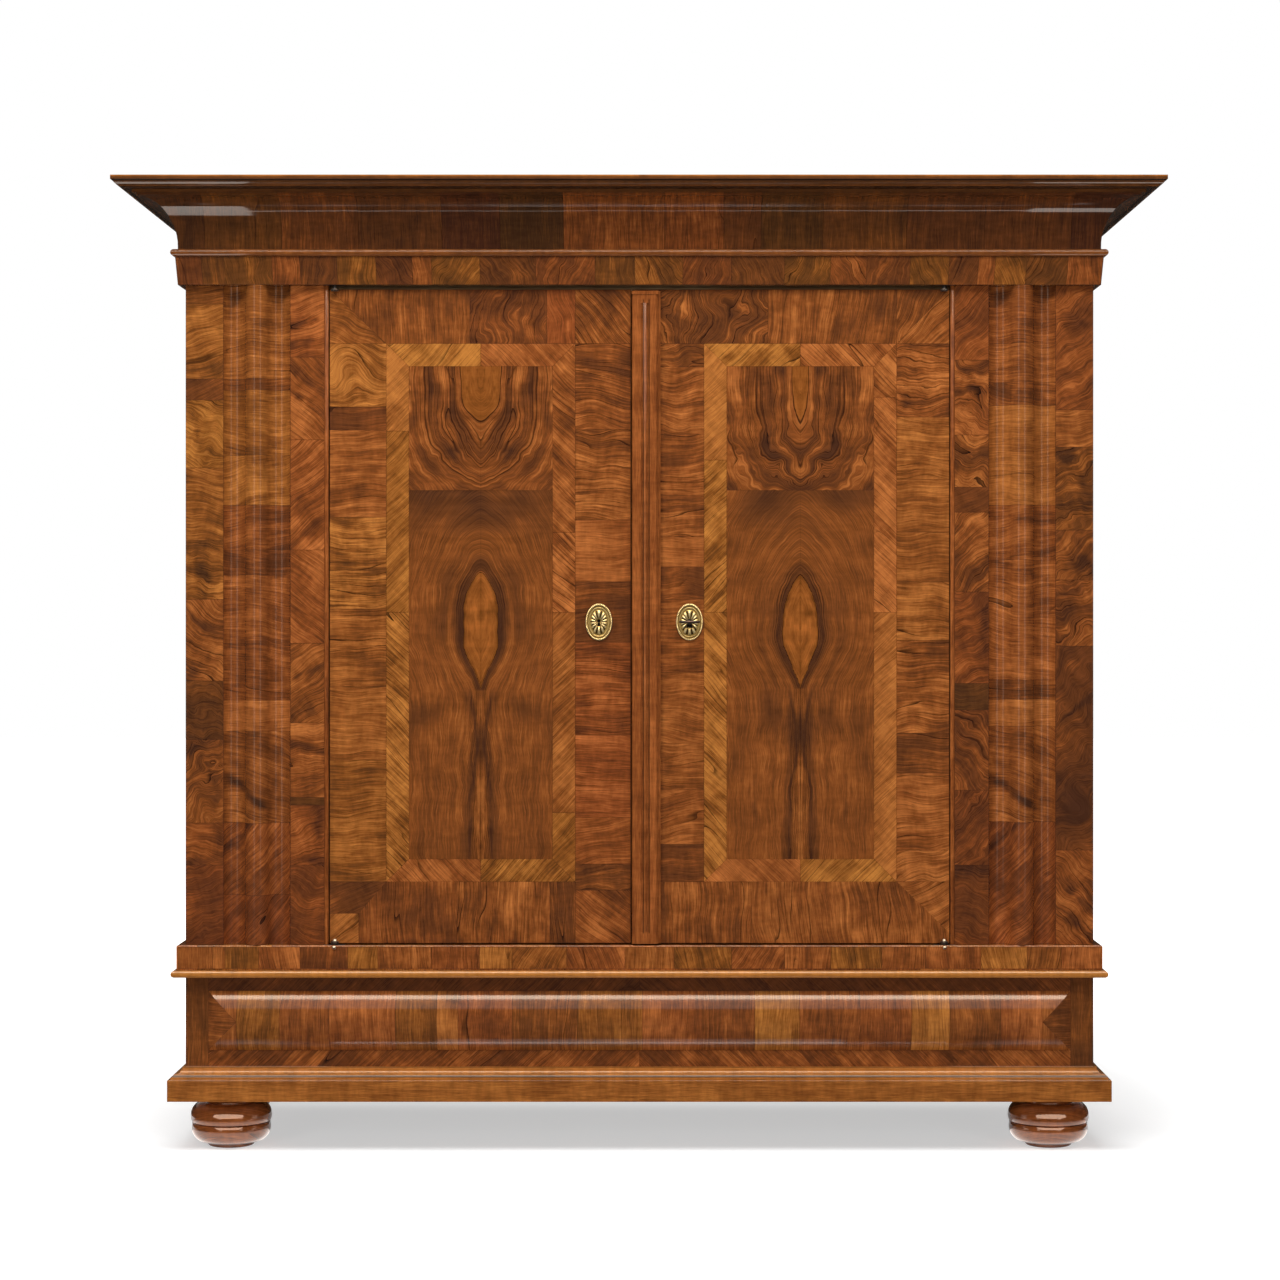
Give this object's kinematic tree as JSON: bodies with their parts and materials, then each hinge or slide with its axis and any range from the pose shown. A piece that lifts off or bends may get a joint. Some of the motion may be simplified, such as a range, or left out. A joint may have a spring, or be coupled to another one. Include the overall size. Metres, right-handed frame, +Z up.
{
  "type": "hall cupboard",
  "caption": "Broad two-door walnut hall cupboard with coved cornice, wave-moulded pilasters, marquetry doors, cushioned base and turned bun feet.",
  "frame": {"origin": "on the floor, in the middle of the width and of the depth over the cornice", "axes": "+X across the front to the right as seen from in front, +Y to the back, +Z up"},
  "size_m": [2.14, 0.781, 2],
  "materials": {
    "polished_walnut": "shellac polish over figured veneer",
    "turned_walnut": "dark stained, polished",
    "softwood": "bare aged softwood",
    "cast_brass": "cast, worn",
    "wrought_iron": "forged, blackened",
    "key_steel": "worn iron key"
  },
  "bodies": {
    "carcass": {"foot_front_left": "turned_walnut", "foot_front_right": "turned_walnut", "foot_back_left": "softwood", "foot_back_right": "softwood", "foot_blocks": "softwood", "plinth_front": "polished_walnut", "plinth_left": "polished_walnut", "plinth_right": "polished_walnut", "base_moulding": "polished_walnut", "base_front": "polished_walnut", "base_side_left": "polished_walnut", "base_side_right": "polished_walnut", "base_back": "softwood", "base_cushion": "polished_walnut", "base_bead": "polished_walnut", "base_frame": "polished_walnut", "floor_board": "softwood", "side_wall_left": "polished_walnut", "side_wall_right": "polished_walnut", "post_left": "softwood", "post_right": "softwood", "outer_strip_left": "polished_walnut", "outer_strip_right": "polished_walnut", "pilaster_left": "polished_walnut", "pilaster_right": "polished_walnut", "inner_strip_left": "polished_walnut", "inner_strip_right": "polished_walnut", "jamb_beads": "polished_walnut", "back_boards": "softwood", "head_board": "softwood", "shelf_lower": "softwood", "shelf_upper": "softwood", "shelf_bearers": "softwood", "frieze_front": "polished_walnut", "frieze_left": "polished_walnut", "frieze_right": "polished_walnut", "cornice_bead": "polished_walnut", "cove_front": "polished_walnut", "cove_left": "polished_walnut", "cove_right": "polished_walnut", "cornice_crown": "polished_walnut", "cornice_top": "softwood", "cornice_back": "softwood", "pivot_sockets": "wrought_iron"},
    "left_door": {"door_left": "softwood", "door_veneer_left": "polished_walnut", "hinge_straps_left": "wrought_iron", "escutcheon_left": "cast_brass", "bolt_keeper": "wrought_iron", "slide_bolt_guides": "wrought_iron"},
    "right_door": {"door_right": "softwood", "door_veneer_right": "polished_walnut", "hinge_straps_right": "wrought_iron", "escutcheon_right": "cast_brass", "strike_moulding": "polished_walnut", "lock_case": "wrought_iron"},
    "key": {"key": "key_steel"},
    "lock_bolt": {"lock_bolt": "wrought_iron"},
    "slide_bolt_upper": {"slide_bolt_upper": "wrought_iron"},
    "slide_bolt_lower": {"slide_bolt_lower": "wrought_iron"}
  },
  "joints": [
    {"name": "left_door_swing", "type": "hinge", "parent": "carcass", "child": "left_door", "pos_m": [-0.63, -0.2645, 1.107], "axis": [0, 0, -1], "range_deg": [0, 160]},
    {"name": "right_door_swing", "type": "hinge", "parent": "carcass", "child": "right_door", "pos_m": [0.63, -0.2645, 1.107], "axis": [0, 0, 1], "range_deg": [0, 160]},
    {"name": "key_turn", "type": "hinge", "parent": "right_door", "child": "key", "pos_m": [0.1035, -0.2595, 1.095], "axis": [0, -1, 0], "range_deg": [0, 180]},
    {"name": "lock_bolt_slide", "type": "slide", "parent": "right_door", "child": "lock_bolt", "axis": [-1, 0, 0], "range_m": [0, 0.02]},
    {"name": "upper_bolt_slide", "type": "slide", "parent": "left_door", "child": "slide_bolt_upper", "axis": [0, 0, 1], "range_m": [0, 0.018]},
    {"name": "lower_bolt_slide", "type": "slide", "parent": "left_door", "child": "slide_bolt_lower", "axis": [0, 0, -1], "range_m": [0, 0.018]}
  ],
  "couplings": [
    {"joint": "key_turn", "follows": "lock_bolt_slide", "rad_per_m": 157.08}
  ]
}
